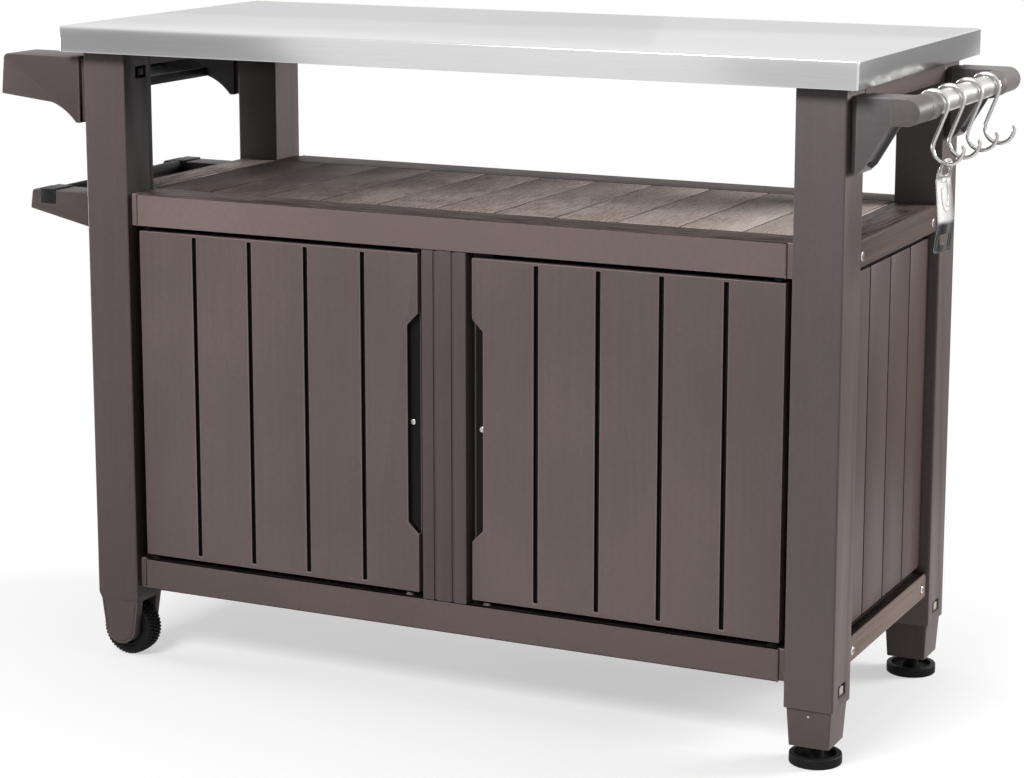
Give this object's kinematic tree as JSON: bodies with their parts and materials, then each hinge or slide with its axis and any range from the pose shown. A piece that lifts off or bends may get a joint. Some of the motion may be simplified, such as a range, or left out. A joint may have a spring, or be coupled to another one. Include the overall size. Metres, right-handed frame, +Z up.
{
  "type": "grill cart with storage",
  "caption": "Grill side cart: steel worktop, open deck, cabinet with doors, tray, paper roll bar and towel bar with hooks, on wheels and levelling feet.",
  "frame": {"origin": "on the floor, under the middle of the cart's length and depth", "axes": "+X to the right seen from the doors, +Y to the back, +Z up; the doors face -Y"},
  "size_m": [1.3504, 0.52, 0.9],
  "materials": {
    "worktop_steel": "brushed stainless sheet",
    "board": "black moulded board",
    "bright_steel": "bright plated steel",
    "opener_steel": "polished steel sheet",
    "fastener_steel": "bright zinc plated steel",
    "tyre_rubber": "black ribbed tread",
    "black_plastic": "black moulded plastic",
    "socket_plastic": "grey brown moulded plastic",
    "deck_plastic": "wood grained moulded plastic",
    "leg_plastic": "dark grey brown moulded plastic",
    "panel_plastic": "grey brown moulded plastic"
  },
  "bodies": {
    "cart": {"back_panel_left": "panel_plastic", "back_panel_right": "panel_plastic", "back_rail_lower": "panel_plastic", "back_rail_upper": "panel_plastic", "bar_bracket_back": "panel_plastic", "bar_bracket_front": "panel_plastic", "bar_socket_back": "socket_plastic", "bar_socket_front": "socket_plastic", "catch_magnets": "fastener_steel", "centre_post_back": "panel_plastic", "centre_post_front": "panel_plastic", "condiment_tray": "panel_plastic", "deck_panel": "deck_plastic", "floor_panel": "panel_plastic", "foot_cap_back": "panel_plastic", "foot_cap_front": "panel_plastic", "front_rail_lower": "panel_plastic", "front_rail_upper": "panel_plastic", "hinge_pins": "fastener_steel", "leg_left_back": "leg_plastic", "leg_left_front": "leg_plastic", "leg_right_back": "leg_plastic", "leg_right_front": "leg_plastic", "rail_screws": "fastener_steel", "roll_arm_back": "panel_plastic", "roll_arm_front": "panel_plastic", "side_panel_left": "panel_plastic", "side_panel_right": "panel_plastic", "side_rail_lower_left": "panel_plastic", "side_rail_lower_right": "panel_plastic", "side_rail_upper_left": "panel_plastic", "side_rail_upper_right": "panel_plastic", "steel_top": "worktop_steel", "top_aprons": "leg_plastic", "top_board": "board", "top_rail_left": "leg_plastic", "top_rail_right": "leg_plastic", "towel_bar": "bright_steel", "tray_arm_back": "panel_plastic", "tray_arm_front": "panel_plastic", "wheel_axles": "fastener_steel", "wheel_fork_back": "panel_plastic", "wheel_fork_front": "panel_plastic"},
    "left_door": {"door_left": "panel_plastic", "door_strike_left": "fastener_steel"},
    "right_door": {"door_right": "panel_plastic", "door_strike_right": "fastener_steel"},
    "front_wheel": {"tyre_front": "tyre_rubber", "wheel_hub_front": "black_plastic"},
    "back_wheel": {"tyre_back": "tyre_rubber", "wheel_hub_back": "black_plastic"},
    "front_foot": {"levelling_foot_front": "black_plastic"},
    "back_foot": {"levelling_foot_back": "black_plastic"},
    "hook_1": {"s_hook_1": "bright_steel"},
    "hook_2": {"s_hook_2": "bright_steel"},
    "hook_3": {"s_hook_3": "bright_steel"},
    "hook_4": {"s_hook_4": "bright_steel"},
    "opener": {"bottle_opener": "opener_steel"},
    "paper_bar": {"roll_bar": "black_plastic", "roll_bar_ends": "black_plastic"}
  },
  "joints": [
    {"name": "left_door_hinge", "type": "hinge", "parent": "cart", "child": "left_door", "pos_m": [-0.4498, -0.2147, 0.388], "axis": [0, 0, -1], "range_deg": [0, 105]},
    {"name": "right_door_hinge", "type": "hinge", "parent": "cart", "child": "right_door", "pos_m": [0.4742, -0.2147, 0.388], "axis": [0, 0, 1], "range_deg": [0, 105]},
    {"name": "front_wheel_spin", "type": "hinge", "parent": "cart", "child": "front_wheel", "pos_m": [-0.5045, -0.1995, 0.04], "axis": [0, 1, 0], "continuous": true},
    {"name": "back_wheel_spin", "type": "hinge", "parent": "cart", "child": "back_wheel", "pos_m": [-0.5045, 0.1995, 0.04], "axis": [0, 1, 0], "continuous": true},
    {"name": "front_foot_thread", "type": "slide", "parent": "cart", "child": "front_foot", "axis": [0, 0, 1], "range_m": [-0.015, 0.006]},
    {"name": "back_foot_thread", "type": "slide", "parent": "cart", "child": "back_foot", "axis": [0, 0, 1], "range_m": [-0.015, 0.006]},
    {"name": "hook_1_swing", "type": "hinge", "parent": "cart", "child": "hook_1", "pos_m": [0.6328, -0.117, 0.837], "axis": [0, -1, 0], "range_deg": [-20, 50]},
    {"name": "hook_2_swing", "type": "hinge", "parent": "cart", "child": "hook_2", "pos_m": [0.6328, -0.047, 0.837], "axis": [0, -1, 0], "range_deg": [-20, 50]},
    {"name": "hook_3_swing", "type": "hinge", "parent": "cart", "child": "hook_3", "pos_m": [0.6328, 0.033, 0.837], "axis": [0, -1, 0], "range_deg": [-20, 50]},
    {"name": "hook_4_swing", "type": "hinge", "parent": "cart", "child": "hook_4", "pos_m": [0.6328, 0.114, 0.837], "axis": [0, -1, 0], "range_deg": [-20, 50]},
    {"name": "opener_swing", "type": "hinge", "parent": "hook_1", "child": "opener", "pos_m": [0.6532, -0.117, 0.764], "axis": [1, 0, 0], "range_deg": [-35, 35]},
    {"name": "paper_bar_lift", "type": "slide", "parent": "cart", "child": "paper_bar", "axis": [0, 0, 1], "range_m": [0, 0.08]}
  ]
}
